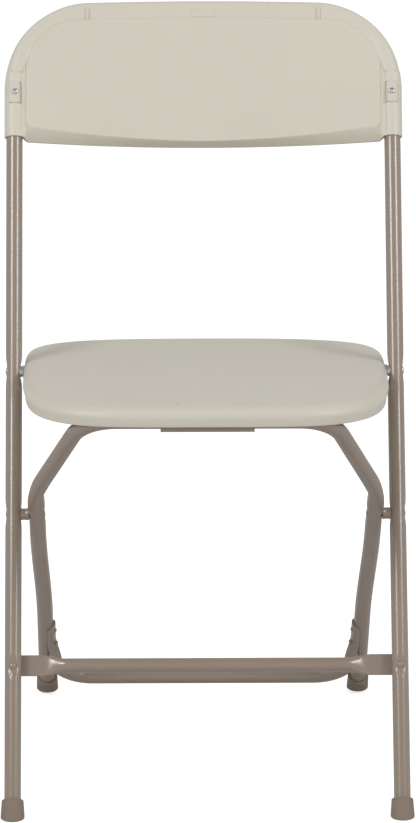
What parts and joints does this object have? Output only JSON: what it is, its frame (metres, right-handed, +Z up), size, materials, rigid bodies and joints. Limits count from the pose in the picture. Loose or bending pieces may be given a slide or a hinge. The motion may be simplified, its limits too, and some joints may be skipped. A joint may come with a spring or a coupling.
{
  "type": "folding chair",
  "caption": "Folding chair with a crossing tube frame, a moulded seat that tips up on side pivots and a moulded backrest on tube sockets.",
  "frame": {"origin": "on the floor, under the centre of the chair's bounding box", "axes": "+Z up, +X to the right of someone who looks at the chair from the front, +Y to the rear, so the sitter faces -Y"},
  "size_m": [0.445, 0.5254, 0.8144],
  "materials": {
    "shell_plastic": "fine moulded grain, satin",
    "frame_paint": "semi-gloss powder coat",
    "foot_rubber": "matt moulded",
    "zinc_hardware": "bright zinc plate"
  },
  "bodies": {
    "frame": {"front_leg_left": "frame_paint", "front_leg_right": "frame_paint", "front_foot_left": "foot_rubber", "front_foot_right": "foot_rubber", "front_brace": "frame_paint", "front_brace_rivets": "frame_paint", "backrest": "shell_plastic", "back_screws": "zinc_hardware", "seat_pivot_rivets": "zinc_hardware", "seat_pivot_washers": "zinc_hardware", "leg_pivot_rivets": "frame_paint", "leg_pivot_spacers": "frame_paint"},
    "rear_frame": {"rear_frame": "frame_paint", "rear_foot_left": "foot_rubber", "rear_foot_right": "foot_rubber", "rear_brace": "frame_paint", "rear_brace_rivets": "frame_paint"},
    "seat": {"seat": "shell_plastic", "seat_bracket_left": "zinc_hardware", "seat_bracket_right": "zinc_hardware", "seat_bracket_screws": "zinc_hardware", "crossbar_catch": "frame_paint", "catch_screws": "zinc_hardware"}
  },
  "joints": [
    {"name": "fold", "type": "hinge", "parent": "frame", "child": "rear_frame", "pos_m": [0, -0.07666, 0.2936], "axis": [-1, 0, 0], "range_deg": [0, 69.7]},
    {"name": "seat_tip", "type": "hinge", "parent": "frame", "child": "seat", "pos_m": [0, 0.00365, 0.4348], "axis": [-1, 0, 0], "range_deg": [0, 96.3]}
  ],
  "couplings": [
    {"joint": "seat_tip", "follows": "fold", "ratio": 1.3802}
  ]
}
